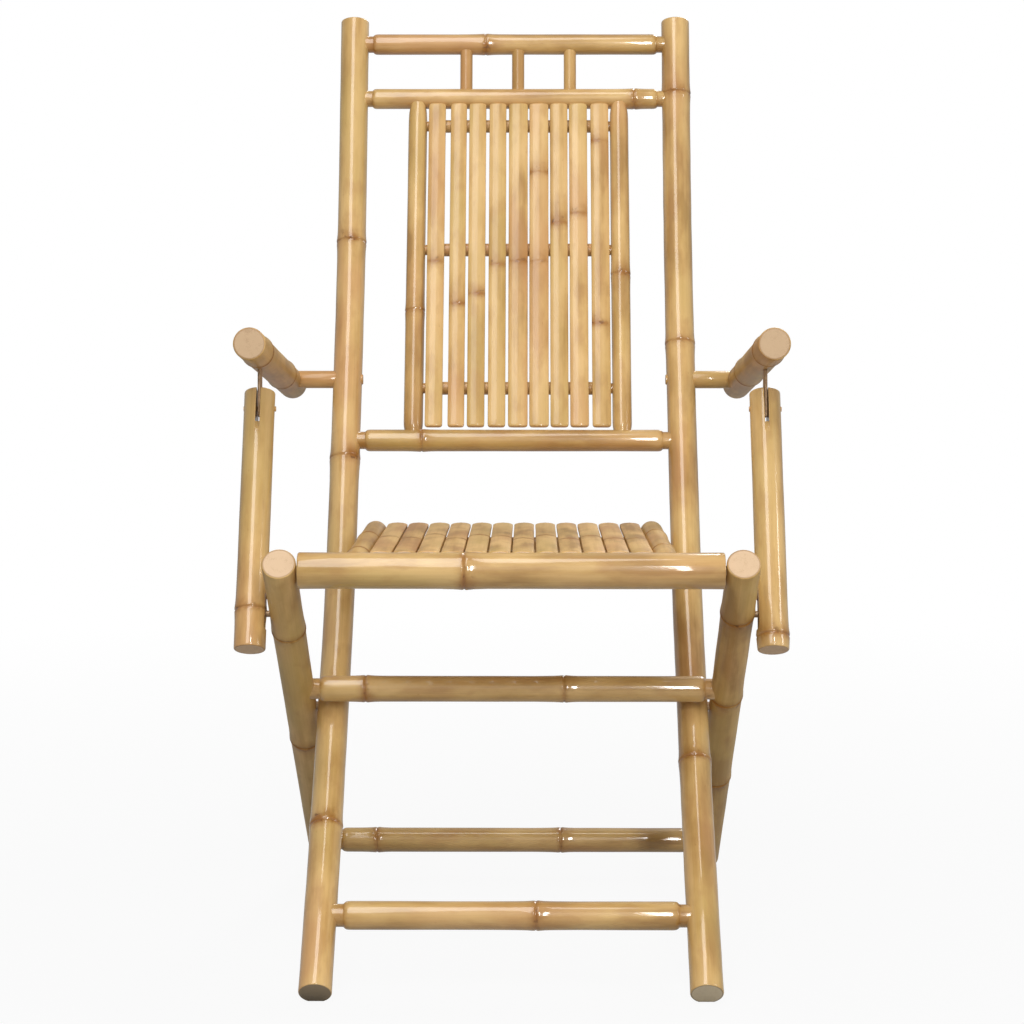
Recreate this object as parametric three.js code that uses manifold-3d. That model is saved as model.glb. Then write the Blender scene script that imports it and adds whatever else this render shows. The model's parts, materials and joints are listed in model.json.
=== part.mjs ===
// A folding bamboo armchair: a bent back frame and a straight outer leg frame cross like scissors.
// The slatted seat turns on the front rail, and each armrest is held by a leaning arm post.
// Millimetres, +Z up. The chair faces -Y, and "left" is the side at -X, as seen from the front.
import * as THREE from "three";
import { mergeVertices } from "three/addons/utils/BufferGeometryUtils.js";
import Module from "manifold-3d";

const wasm = await Module();
wasm.setup();

// Sizes of the back frame
const postHeight = 1071;
const postReach = 737.3;
const postRadius = 17.8;
const postHalfSpacing = 205;
const postLineShares = [
  [0.007, 0.01045],
  [0.23053, 0.14196],
  [0.38789, 0.24745],
  [0.50566, 0.32772],
  [0.61592, 0.4295],
  [0.85717, 0.71733],
  [1, 1],
];
const topRailBelowPostTop = 29;
const topRailRadius = 13;
const upperRailBelowTopRail = 70;
const upperRailRadius = 12.7;
const lowerRailHeight = 551;
const lowerRailRadius = 13.3;
const footRailHeight = 74.6;
const footRailRadius = 15.4;
const seatRestHeight = 422.5;
const seatRestRadius = 13.5;
const spindleRadius = 7.8;
const spindlePitch = 66;
const spindleOffset = 4;
const stileRadius = 11.8;
const stileLeft = 123;
const stileRight = 132;
const backCrossbarRadius = 8;
const backCrossbarShares = [0.08, 0.45, 0.85];
const backSlatThickness = 8;
const backSlatTopLap = 12;
const backSlatFootGap = 1.5;
const backSlatWidths = [21.5, 20.3, 21.5, 21.5, 24, 24, 22.2, 22.8, 22.8];
const backSlatGapShares = [1.5, 4, 2, 2.5, 2, 1.2, 1.2, 1.2, 2.7, 1.2];

// Sizes of the outer leg frame
const legTopReach = 37;
const legTopHeight = 460;
const legFootReach = 609.5;
const legFootHeight = 11.7;
const legRadius = 18;
const legHalfSpacing = 242;
const midRailAbovePivot = 41;
const midRailRadius = 14.7;
const rearRailHeight = 41.5;
const rearRailRadius = 15.2;
const framePinRadius = 5;

// Sizes of the seat
const seatRailRadius = 19.2;
const seatRailFromLegEnd = 14;
const seatRailEndGap = 1.2;
const seatRodRadius = 5;
const seatTiltDegrees = 1.7;
const seatRearOverhang = 9.6;
const seatSideRadius = 13.75;
const seatSlatCount = 12;
const seatSlatPitch = 25.1;
const seatSlatWidth = 23.4;
const seatSlatThickness = 8;
const seatCrossbarRadius = 8;
const seatCrossbarShares = [0.24, 0.72];
const seatSaddleClearance = 0.4;

// Sizes of the arms
const armHalfSpacing = 279.5;
const armRadius = 17.5;
const armFrontReach = 124;
const armFrontHeight = 685;
const armSlopeDegrees = 8.2;
const armTail = 75;
const armStubRadius = 10.8;
const armPinRadius = 6;
const armPinHead = 1.2;
const armPostRadius = 17.6;
const armPostJointFromLegEnd = 105;
const armPostFoot = 40;
const armPostAbovePin = 19.4;
const armPostPinRadius = 3.5;
const armPostSlotWidth = 4.6;
const armPostSlotDepth = 41;
const armPostGrooveUp = 12.4;
const armPostGrooveDown = 10.4;
const armPostGrooveSlack = 3.6;
const tongueFromFront = 113.5;
const tongueDrop = 61;
const tongueThickness = 3.4;
const tongueWidth = 20;
const tongueTip = 9;
const tongueSeat = 13;
const tonguePinRadius = 3;

// Sizes that poles share
const sides = 12;
const fineSides = 10;
const clearance = 0.3;
const ringHeight = 1.1;
const ringHalfWidth = 3;
const neckShare = 0.8;
const neckLengthShare = 1;
const tenonDepth = 11;
const edgeBevel = 1.6;
const overrun = 60;

// Shares of each piece's length that carry a ring
const topRailRingShares = [0.4];
const upperRailRingShares = [0.88];
const lowerRailRingShares = [0.2];
const footRailRingShares = [0.57];
const seatRestRingShares = [0.35];
const stileRingShares = { left: [0.64], right: [0.53] };
const legRingShares = { left: [0.185, 0.535], right: [0.135, 0.39, 0.67] };
const midRailRingShares = [0.1, 0.63];
const rearRailRingShares = [0.14, 0.61];
const seatRailRingShares = [0.39];
const seatSideRingShares = [0.3, 0.8];
const armRingShares = [0.16, 0.7];
const armPostRingShares = { left: [0.13], right: [0.04] };

const up = new THREE.Vector3(0, 0, 1);
const chair = new THREE.Group();
const backFrame = new THREE.Group();
const outerFrame = new THREE.Group();
const seat = new THREE.Group();
chair.add(backFrame, outerFrame, seat);

// A finish for each kind of piece.
function finish(color, roughness, metalness) {
  return new THREE.MeshStandardMaterial({ color, roughness, metalness });
}

const pole = () => finish(0xd9b67c, 0.4, 0);
const strip = () => finish(0xd3b078, 0.45, 0);
const dowel = () => finish(0xc69a63, 0.5, 0);
const metal = () => finish(0x8d8478, 0.45, 0.7);

// A box that fills the space under the floor.
function floorBox() {
  const size = 2 * postHeight;
  return boxCutter(size, size, size, new THREE.Vector3(0, 0, -size / 2), 0);
}

// Puts a geometry in a named mesh of a group.
function addPiece(group, name, geometry, material) {
  const mesh = new THREE.Mesh(geometry, material);
  mesh.name = name;
  group.add(mesh);
  return mesh;
}

// Turns a mesh whose length runs along its own Z so that it goes from one point towards another.
function aim(mesh, from, to) {
  const direction = to.clone().sub(from).normalize();
  mesh.position.copy(from);
  mesh.quaternion.setFromUnitVectors(up, direction);
  return mesh;
}

// A closed round bar from Z = 0 to its length, with a ring at each share of the length.
// An end with a neck turns down to a tenon, which reaches past the length by its depth.
function barGeometry(length, radius, ringShares, neckAtStart, neckAtEnd, tenon) {
  const neck = radius * neckShare;
  const neckLength = radius * neckLengthShare;
  const profile = [];
  const start = neckAtStart ? -tenon : 0;
  const end = neckAtEnd ? length + tenon : length;
  profile.push([0, start]);
  if (neckAtStart) {
    profile.push([neck, start]);
    profile.push([neck, neckLength / 2]);
    profile.push([radius, neckLength]);
  } else {
    profile.push([radius, start]);
  }
  for (const share of ringShares) {
    const at = length * share;
    profile.push([radius, at - ringHalfWidth]);
    profile.push([radius + ringHeight, at]);
    profile.push([radius, at + ringHalfWidth]);
  }
  if (neckAtEnd) {
    profile.push([radius, length - neckLength]);
    profile.push([neck, length - neckLength / 2]);
    profile.push([neck, end]);
  } else {
    profile.push([radius, end]);
  }
  profile.push([0, end]);
  const points = profile.map(([r, z]) => new THREE.Vector2(r, z));
  const geometry = new THREE.LatheGeometry(points, sides);
  geometry.rotateX(Math.PI / 2);
  return geometry;
}

// A pole between two points of its group, with no necks.
function addPole(group, name, from, to, radius, ringShares, material = pole()) {
  const geometry = barGeometry(from.distanceTo(to), radius, ringShares, false, false, 0);
  return aim(addPiece(group, name, geometry, material), from, to);
}

// A rail between two points of its group, with a neck and a tenon at both ends.
function addRail(group, name, from, to, radius, ringShares, tenon = tenonDepth) {
  const length = from.distanceTo(to);
  const geometry = barGeometry(length, radius, ringShares, true, true, tenon);
  const rail = aim(addPiece(group, name, geometry, pole()), from, to);
  rail.userData = { length, tenon, neck: radius * neckShare };
  return rail;
}

// A plain pin between two points of its group.
function addPin(group, name, from, to, radius, material) {
  const geometry = new THREE.CylinderGeometry(radius, radius, from.distanceTo(to), fineSides);
  geometry.rotateX(Math.PI / 2);
  geometry.translate(0, 0, from.distanceTo(to) / 2);
  return aim(addPiece(group, name, geometry, material), from, to);
}

// A flat strip with eased front edges: width along X, thickness along Y, length along its own Z.
function stripGeometry(width, thickness, length) {
  const half = width / 2;
  const shape = new THREE.Shape();
  shape.moveTo(-half, thickness / 2);
  shape.lineTo(-half, edgeBevel - thickness / 2);
  shape.lineTo(edgeBevel - half, -thickness / 2);
  shape.lineTo(half - edgeBevel, -thickness / 2);
  shape.lineTo(half, edgeBevel - thickness / 2);
  shape.lineTo(half, thickness / 2);
  return new THREE.ExtrudeGeometry(shape, { depth: length, bevelEnabled: false });
}

// A closed mesh in world space as a solid.
function solidOf(mesh) {
  mesh.updateWorldMatrix(true, false);
  const geometry = mesh.geometry.clone().applyMatrix4(mesh.matrixWorld);
  geometry.deleteAttribute("normal");
  geometry.deleteAttribute("uv");
  const merged = mergeVertices(geometry, clearance / 1000);
  const vertProperties = merged.attributes.position.array;
  return new wasm.Manifold(
    new wasm.Mesh({ numProp: 3, vertProperties, triVerts: new Uint32Array(merged.index.array) }),
  );
}

// Cuts each cutter's solid out of a mesh.
function cut(mesh, cutters) {
  let solid = solidOf(mesh);
  for (const cutter of cutters) solid = solid.subtract(solidOf(cutter));
  const made = solid.getMesh();
  const geometry = new THREE.BufferGeometry();
  geometry.setAttribute("position", new THREE.BufferAttribute(made.vertProperties, 3));
  geometry.setIndex(new THREE.BufferAttribute(made.triVerts, 1));
  geometry.applyMatrix4(mesh.matrixWorld.clone().invert());
  mesh.geometry = geometry.toNonIndexed();
  mesh.geometry.computeVertexNormals();
}

// A round cutter between two world points, whose flats clear a round bar of the given radius.
function hole(from, to, radius) {
  const size = (radius + clearance) / Math.cos(Math.PI / fineSides);
  return addPin(new THREE.Group(), "hole", from, to, size, metal());
}

// A round cutter along a rail, which leaves room for its necks and tenons in whatever they enter.
function socket(rail) {
  const { length, tenon, neck } = rail.userData;
  const reach = tenon + clearance;
  rail.updateWorldMatrix(true, false);
  const from = new THREE.Vector3(0, 0, -reach).applyMatrix4(rail.matrixWorld);
  const to = new THREE.Vector3(0, 0, length + reach).applyMatrix4(rail.matrixWorld);
  return hole(from, to, neck);
}

// A box cutter with its centre at a world point, turned about X.
function boxCutter(width, depth, height, centre, turn) {
  const box = new THREE.Mesh(new THREE.BoxGeometry(width, depth, height));
  box.position.copy(centre);
  box.rotation.x = turn;
  return box;
}

// The axis of the bent back posts, in the side view.
const postLine = new THREE.CatmullRomCurve3(
  postLineShares.map(([y, z]) => new THREE.Vector3(0, y * postReach, z * postHeight)),
);

// The first share of a span at which a measure passes zero, found by halving.
function halve(measure, low, high) {
  const rising = measure(high) > measure(low);
  let a = low;
  let b = high;
  while ((b - a) / (high - low) > Number.EPSILON * sides) {
    const middle = (a + b) / 2;
    if (measure(middle) > 0 === rising) b = middle;
    else a = middle;
  }
  return a;
}

// The point of the post's axis at a height.
function postAt(height) {
  return postLine.getPoint(halve((t) => postLine.getPoint(t).z - height, 0, 1));
}

const legTop = new THREE.Vector3(0, legTopReach, legTopHeight);
const legFoot = new THREE.Vector3(0, legFootReach, legFootHeight);
const legDown = legFoot.clone().sub(legTop).normalize();
const alongLeg = (distance) => legTop.clone().addScaledVector(legDown, distance);

const armSlope = THREE.MathUtils.degToRad(armSlopeDegrees);
const armBack = new THREE.Vector3(0, Math.cos(armSlope), -Math.sin(armSlope));
const armDown = new THREE.Vector3(0, -Math.sin(armSlope), -Math.cos(armSlope));
const armFront = new THREE.Vector3(0, armFrontReach, armFrontHeight);
const alongArm = (distance) => armFront.clone().addScaledVector(armBack, distance);

// How far a post point lies to the rear of a straight line that starts at a point.
function sideOf(point, start, direction) {
  const away = point.clone().sub(start);
  return away.y * direction.z - away.z * direction.y;
}

const frameShare = halve((t) => sideOf(postLine.getPoint(t), legTop, legDown), 0, 1);
const framePivot = postLine.getPoint(frameShare);
const armShare = halve((t) => sideOf(postLine.getPoint(t), armFront, armBack), frameShare, 1);
const armPivot = postLine.getPoint(armShare);
const seatPivot = alongLeg(seatRailFromLegEnd);
const armPostPivot = alongLeg(armPostJointFromLegEnd);
const tonguePivot = alongArm(tongueFromFront).addScaledVector(armDown, tongueDrop);
const armPostUp = tonguePivot.clone().sub(armPostPivot).normalize();

// The same point moved sideways.
const at = (x, point) => new THREE.Vector3(x, point.y, point.z);
const sideNames = [
  ["left", -1],
  ["right", 1],
];

// The bent back posts, cut level at the feet.
const posts = {};
for (const [side, sign] of sideNames) {
  const outline = new THREE.Shape();
  outline.absarc(0, 0, postRadius, 0, 2 * Math.PI);
  const line = new THREE.CatmullRomCurve3(
    postLine.points.map((point) => at(sign * postHalfSpacing, point)),
  );
  const geometry = new THREE.ExtrudeGeometry(outline, {
    steps: postLineShares.length * 2,
    curveSegments: sides,
    extrudePath: line,
    bevelEnabled: false,
  });
  posts[side] = addPiece(backFrame, "back_post_" + side, geometry, pole());
}

// The rails between the back posts.
function addBackRail(name, height, radius, ringShares) {
  const point = postAt(height);
  const reach = postHalfSpacing - postRadius;
  return addRail(backFrame, name, at(-reach, point), at(reach, point), radius, ringShares);
}

const topRailHeight = postHeight - topRailBelowPostTop;
const upperRailHeight = topRailHeight - upperRailBelowTopRail;
const topRail = addBackRail("top_rail", topRailHeight, topRailRadius, topRailRingShares);
const upperRail = addBackRail("upper_rail", upperRailHeight, upperRailRadius, upperRailRingShares);
const lowerRail = addBackRail("lower_back_rail", lowerRailHeight, lowerRailRadius, lowerRailRingShares);
const footRail = addBackRail("front_foot_rail", footRailHeight, footRailRadius, footRailRingShares);
const seatRest = addBackRail("rear_seat_rail", seatRestHeight, seatRestRadius, seatRestRingShares);
const backRails = [topRail, upperRail, lowerRail, footRail, seatRest];

// The spindles between the two upper rails.
const topPoint = postAt(topRailHeight);
const upperPoint = postAt(upperRailHeight);
const lowerPoint = postAt(lowerRailHeight);
const spindleDown = upperPoint.clone().sub(topPoint).normalize();
const spindles = [-1, 0, 1].map((step, index) => {
  const x = spindleOffset + step * spindlePitch;
  const from = at(x, topPoint.clone().addScaledVector(spindleDown, topRailRadius));
  const to = at(x, upperPoint.clone().addScaledVector(spindleDown, -upperRailRadius));
  const name = "back_spindle_" + (index + 1);
  return addRail(backFrame, name, from, to, spindleRadius, [], spindleRadius / 2);
});

// The stiles of the back panel, tenoned into the rails above and below.
const panelDown = lowerPoint.clone().sub(upperPoint).normalize();
const panelFront = new THREE.Vector3(0, panelDown.z, -panelDown.y);
const stiles = [
  ["left", -stileLeft],
  ["right", stileRight],
].map(([side, x]) => {
  const from = at(x, upperPoint.clone().addScaledVector(panelDown, upperRailRadius));
  const to = at(x, lowerPoint.clone().addScaledVector(panelDown, -lowerRailRadius));
  const rings = stileRingShares[side];
  return addRail(backFrame, "back_stile_" + side, from, to, stileRadius, rings, stileRadius / 2);
});

// The slats lie in front of the crossbars, and their tops lap over the upper rail.
const slatFace = Math.sqrt(upperRailRadius ** 2 - backSlatTopLap ** 2) + 2 * clearance;
const slatForward = slatFace + backSlatThickness / 2;
const crossbarForward = slatFace - clearance - backCrossbarRadius;
const panelLength = upperPoint.distanceTo(lowerPoint);
const backCrossbars = backCrossbarShares.map((share, index) => {
  const point = upperPoint.clone().addScaledVector(panelDown, share * panelLength);
  point.addScaledVector(panelFront, crossbarForward);
  const from = at(-stileLeft + stileRadius, point);
  const to = at(stileRight - stileRadius, point);
  const tenon = stileRadius / 2;
  const name = "back_crossbar_" + (index + 1);
  return addRail(backFrame, name, from, to, backCrossbarRadius, [], tenon);
});
const slatRoom = stileLeft + stileRight - 2 * stileRadius;
const slatSum = backSlatWidths.reduce((sum, width) => sum + width, 0);
const gapSum = backSlatGapShares.reduce((sum, share) => sum + share, 0);
const gapUnit = (slatRoom - slatSum) / gapSum;
const slatLength = panelLength - backSlatTopLap - lowerRailRadius - backSlatFootGap;
let slatEdge = stileRadius - stileLeft;
backSlatWidths.forEach((width, index) => {
  slatEdge += backSlatGapShares[index] * gapUnit;
  const low = lowerPoint.clone().addScaledVector(panelDown, -lowerRailRadius - backSlatFootGap);
  const from = at(slatEdge + width / 2, low.addScaledVector(panelFront, slatForward));
  const geometry = stripGeometry(width, backSlatThickness, slatLength);
  const slat = addPiece(backFrame, "back_slat_" + (index + 1), geometry, strip());
  aim(slat, from, from.clone().sub(panelDown));
  slatEdge += width;
});

// The outer legs and the pins that they turn on.
const legs = {};
for (const [side, sign] of sideNames) {
  const x = sign * legHalfSpacing;
  const rings = legRingShares[side];
  legs[side] = addPole(outerFrame, "outer_leg_" + side, at(x, legTop), at(x, legFoot), legRadius, rings);
  const from = at(sign * (postHalfSpacing - postRadius / 2), framePivot);
  const to = at(sign * (legHalfSpacing + legRadius / 2), framePivot);
  addPin(outerFrame, "frame_pivot_" + side, from, to, framePinRadius, metal());
}

// The rails between the legs, and the rod that carries the seat.
const legReach = legHalfSpacing - legRadius;
function addLegRail(name, point, radius, ringShares) {
  return addRail(outerFrame, name, at(-legReach, point), at(legReach, point), radius, ringShares);
}
const midPoint = framePivot.clone().addScaledVector(legDown, -midRailAbovePivot);
const midRail = addLegRail("mid_rail", midPoint, midRailRadius, midRailRingShares);
const rearPoint = alongLeg((legTopHeight - rearRailHeight) / -legDown.z);
const rearRail = addLegRail("rear_foot_rail", rearPoint, rearRailRadius, rearRailRingShares);
const rodReach = legHalfSpacing + legRadius / 2;
const rodFrom = at(-rodReach, seatPivot);
addPin(outerFrame, "seat_pivot_rod", rodFrom, at(rodReach, seatPivot), seatRodRadius, metal());

// The seat, built around its front rail and tilted back a little until it lies on its rest.
const seatTilt = THREE.MathUtils.degToRad(seatTiltDegrees);
const seatBack = new THREE.Vector3(0, Math.cos(seatTilt), -Math.sin(seatTilt));
const restPoint = postAt(seatRestHeight);
const seatDepth = restPoint.clone().sub(seatPivot).dot(seatBack) + seatRearOverhang;
seat.position.copy(seatPivot);
seat.rotation.x = -seatTilt;
const seatRailReach = legReach - seatRailEndGap;
const railStart = new THREE.Vector3(-seatRailReach, 0, 0);
const railEnd = new THREE.Vector3(seatRailReach, 0, 0);
const frontRings = seatRailRingShares;
const seatFront = addPole(seat, "seat_front_rail", railStart, railEnd, seatRailRadius, frontRings);
const seatTop = seatRailRadius;
const seatSideX = (seatSlatCount * seatSlatPitch) / 2 + seatSideRadius;
const sideRails = sideNames.map(([side, sign]) => {
  const from = new THREE.Vector3(sign * seatSideX, seatRailRadius, seatTop - seatSideRadius);
  const to = new THREE.Vector3(sign * seatSideX, seatDepth, seatTop - seatSideRadius);
  const length = from.distanceTo(to);
  const tenon = tenonDepth / 2;
  const geometry = barGeometry(length, seatSideRadius, seatSideRingShares, true, false, tenon);
  const rail = aim(addPiece(seat, "seat_side_rail_" + side, geometry, pole()), from, to);
  rail.userData = { length, tenon, neck: seatSideRadius * neckShare };
  return rail;
});
const seatSlatZ = seatTop - seatSlatThickness / 2;
for (let index = 0; index < seatSlatCount; index += 1) {
  const x = (index - (seatSlatCount - 1) / 2) * seatSlatPitch;
  const from = new THREE.Vector3(x, seatRailRadius + clearance, seatSlatZ);
  const geometry = stripGeometry(seatSlatWidth, seatSlatThickness, seatDepth - from.y);
  geometry.rotateX(-Math.PI / 2);
  const slat = addPiece(seat, "seat_slat_" + (index + 1), geometry, strip());
  slat.position.copy(from);
}
const seatCrossbars = seatCrossbarShares.map((share, index) => {
  const z = seatTop - seatSlatThickness - clearance - seatCrossbarRadius;
  const reach = seatSideX - seatSideRadius;
  const from = new THREE.Vector3(-reach, share * seatDepth, z);
  const to = new THREE.Vector3(reach, share * seatDepth, z);
  const tenon = seatSideRadius / 2;
  return addRail(seat, "seat_crossbar_" + (index + 1), from, to, seatCrossbarRadius, [], tenon);
});

// The armrests with their pivots and tongues, and the arm posts with their pins.
const armLength = armFront.distanceTo(armPivot) + armTail;
const armPostTop = tonguePivot.clone().addScaledVector(armPostUp, armPostAbovePin);
const armPostLow = armPostPivot.clone().addScaledVector(armPostUp, -armPostFoot);
const armPostTurn = -Math.atan2(armPostUp.y, armPostUp.z);
for (const [side, sign] of sideNames) {
  const arm = new THREE.Group();
  const armPost = new THREE.Group();
  chair.add(arm, armPost);
  const x = sign * armHalfSpacing;
  const armEnd = at(x, alongArm(armLength));
  const armrest = addPole(arm, "armrest_" + side, at(x, armFront), armEnd, armRadius, armRingShares);
  const rings = armPostRingShares[side];
  const postEnds = [at(x, armPostLow), at(x, armPostTop)];
  const post = addPole(armPost, "arm_post_" + side, ...postEnds, armPostRadius, rings);

  const stubFrom = sign * (postHalfSpacing - postRadius - armPinHead);
  const stubTo = sign * (armHalfSpacing - clearance);
  const shoulder = armHalfSpacing - armRadius - clearance;
  const collar = postHalfSpacing + postRadius / 2;
  const turned = [
    [0, 0],
    [armPinRadius, 0],
    [armPinRadius, collar - Math.abs(stubFrom)],
    [armStubRadius, collar - Math.abs(stubFrom)],
    [armStubRadius, shoulder - Math.abs(stubFrom)],
    [armPinRadius, shoulder - Math.abs(stubFrom)],
    [armPinRadius, Math.abs(stubTo - stubFrom)],
    [0, Math.abs(stubTo - stubFrom)],
  ].map(([r, z]) => new THREE.Vector2(r, z));
  const stubGeometry = new THREE.LatheGeometry(turned, fineSides);
  stubGeometry.rotateX(Math.PI / 2);
  const stub = addPiece(backFrame, "arm_pivot_" + side, stubGeometry, dowel());
  aim(stub, at(stubFrom, armPivot), at(stubTo, armPivot));
  const collarFrom = at(sign * collar, armPivot);
  const collarTo = at(sign * shoulder, armPivot);
  const pinTo = at(stubTo + sign * clearance, armPivot);
  cut(armrest, [hole(collarFrom, pinTo, armPinRadius)]);

  const tongueLength = tongueDrop + tongueTip - armRadius + tongueSeat;
  const middle = alongArm(tongueFromFront);
  middle.addScaledVector(armDown, armRadius - tongueSeat + tongueLength / 2);
  const plate = new THREE.BoxGeometry(tongueThickness, tongueWidth, tongueLength);
  const tongue = addPiece(arm, "arm_tongue_" + side, plate, metal());
  tongue.position.copy(at(x, middle));
  tongue.rotation.x = -armSlope;
  const bed = tongueLength + 2 * clearance;
  const bedWidth = tongueThickness + 2 * clearance;
  cut(armrest, [boxCutter(bedWidth, tongueWidth + 2 * clearance, bed, at(x, middle), -armSlope)]);

  const pinReach = armPostRadius + clearance;
  const pinFrom = at(x - pinReach, tonguePivot);
  const pinEnd = at(x + pinReach, tonguePivot);
  addPin(armPost, "tongue_pin_" + side, pinFrom, pinEnd, tonguePinRadius, metal());
  cut(tongue, [hole(pinFrom, pinEnd, tonguePinRadius)]);

  const slotLength = armPostSlotDepth + overrun;
  const slotPoint = armPostTop.clone().addScaledVector(armPostUp, overrun - slotLength / 2);
  const slot = boxCutter(armPostSlotWidth, overrun, slotLength, at(x, slotPoint), armPostTurn);
  const low = sign * (legHalfSpacing + legRadius / 2);
  const high = sign * (armHalfSpacing - armPostRadius / 2);
  const pinEnds = [at(low, armPostPivot), at(high, armPostPivot)];
  addPin(outerFrame, "arm_post_pivot_" + side, ...pinEnds, armPostPinRadius, metal());
  const grooveWidth = 2 * (armPostPinRadius + armPostGrooveSlack);
  const grooveLength = armPostGrooveUp + armPostGrooveDown + grooveWidth;
  const grooveMiddle = armPostPivot.clone();
  grooveMiddle.addScaledVector(armPostUp, (armPostGrooveUp - armPostGrooveDown) / 2);
  const grooveDepth = armPostRadius / 2 + clearance;
  const grooveX = sign * (armHalfSpacing - armPostRadius + grooveDepth / 2 - overrun / 2);
  const grooveReach = grooveDepth + overrun;
  const groovePoint = at(grooveX, grooveMiddle);
  const groove = boxCutter(grooveReach, grooveWidth, grooveLength, groovePoint, armPostTurn);
  cut(post, [slot, hole(pinFrom, pinEnd, tonguePinRadius), groove]);

  const bedX = sign * (rodReach + clearance);
  const legHoles = [
    hole(at(low - sign * clearance, armPostPivot), at(high, armPostPivot), armPostPinRadius),
    hole(at(0, seatPivot), at(bedX, seatPivot), seatRodRadius),
    hole(at(0, framePivot), at(bedX, framePivot), framePinRadius),
  ];
  cut(legs[side], [...legHoles, socket(midRail), socket(rearRail), floorBox()]);

  const insideX = sign * (postHalfSpacing - postRadius / 2 - clearance);
  const collarBed = at(sign * (collar - clearance), armPivot);
  const postHoles = [
    hole(at(insideX, framePivot), at(x, framePivot), framePinRadius),
    hole(at(0, armPivot), at(x, armPivot), armPinRadius),
    hole(collarBed, collarTo, armStubRadius),
  ];
  cut(posts[side], [...postHoles, ...backRails.map(socket), floorBox()]);
}

// The sockets of the back panel and of the seat frame.
cut(topRail, spindles.map(socket));
cut(upperRail, [...spindles, ...stiles].map(socket));
cut(lowerRail, stiles.map(socket));
stiles.forEach((stile) => cut(stile, backCrossbars.map(socket)));
seat.updateMatrixWorld(true);
const rodHole = hole(rodFrom, at(rodReach, seatPivot), seatRodRadius);
cut(seatFront, [rodHole, ...sideRails.map(socket)]);
const saddleX = postHalfSpacing - postRadius;
const saddleRadius = seatRestRadius + seatSaddleClearance;
const saddle = hole(at(-saddleX, restPoint), at(saddleX, restPoint), saddleRadius);
sideRails.forEach((rail) => cut(rail, [saddle, ...seatCrossbars.map(socket)]));

// The natural origin is on the floor, under the middle of the chair.
chair.updateMatrixWorld(true);
const size = new THREE.Box3().setFromObject(chair, true);
const middle = size.getCenter(new THREE.Vector3());
const origin = new THREE.Vector3(middle.x, middle.y, size.min.z);
chair.children.forEach((group) => group.position.sub(origin));

export default chair;
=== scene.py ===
"""Looks of a bamboo folding armchair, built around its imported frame.

Every pole, strip and pin is modelled along its own axis, given the rings, necks and grain of
real bamboo, and then laid where the frame holds it.
"""

import json
import logging
import math
import random
from dataclasses import dataclass, field
from enum import Enum

import bpy
import numpy as np
from mathutils import Matrix, Vector


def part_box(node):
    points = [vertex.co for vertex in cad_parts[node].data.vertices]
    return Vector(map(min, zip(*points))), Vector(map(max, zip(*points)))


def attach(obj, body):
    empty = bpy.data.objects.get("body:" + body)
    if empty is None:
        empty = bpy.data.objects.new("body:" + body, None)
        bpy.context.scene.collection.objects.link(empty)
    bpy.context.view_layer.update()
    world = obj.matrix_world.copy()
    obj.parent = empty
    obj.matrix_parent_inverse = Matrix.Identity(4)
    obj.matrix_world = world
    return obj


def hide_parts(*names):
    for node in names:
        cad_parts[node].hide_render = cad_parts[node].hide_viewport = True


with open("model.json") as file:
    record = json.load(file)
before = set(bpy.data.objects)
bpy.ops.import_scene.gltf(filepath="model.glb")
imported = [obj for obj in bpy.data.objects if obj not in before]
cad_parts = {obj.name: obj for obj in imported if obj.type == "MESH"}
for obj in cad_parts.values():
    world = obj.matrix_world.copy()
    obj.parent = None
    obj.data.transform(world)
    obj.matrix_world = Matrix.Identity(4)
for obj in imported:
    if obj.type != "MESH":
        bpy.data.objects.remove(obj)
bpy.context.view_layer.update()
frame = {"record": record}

logging.basicConfig(level=logging.INFO, format="%(message)s")
LOG = logging.getLogger("armchair")

MM = 0.001
SIDES = 36
HALVINGS = 36
RING_SWELL = 1.1 * MM
END_SLOT = 1
FOOT_SLOT = 2
FORWARD = Vector((0, -1, 0))
UP = Vector((0, 0, 1))
BLACK = (0, 0, 0)
WHITE = (1, 1, 1)

Object = bpy.types.Object
Material = bpy.types.Material
Node = bpy.types.Node
Socket = bpy.types.NodeSocket
Color = tuple[float, float, float]
Shares = tuple[float, ...]


class EndStyle(Enum):
    """How one end of a pole is finished."""

    SAWN = "sawn"
    NECK = "neck"
    SHOULDER = "shoulder"
    COPED = "coped"
    BURIED = "buried"


class Side(Enum):
    """The two sides of the chair, as seen from the front."""

    LEFT = "left"
    RIGHT = "right"

    @property
    def sign(self) -> int:
        """The sign of X on this side."""
        return -1 if self is Side.LEFT else 1


def sides(left: object, right: object) -> dict[Side, object]:
    """Makes a dataclass field that holds a value for each side."""
    return field(default_factory=lambda: {Side.LEFT: left, Side.RIGHT: right})


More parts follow.
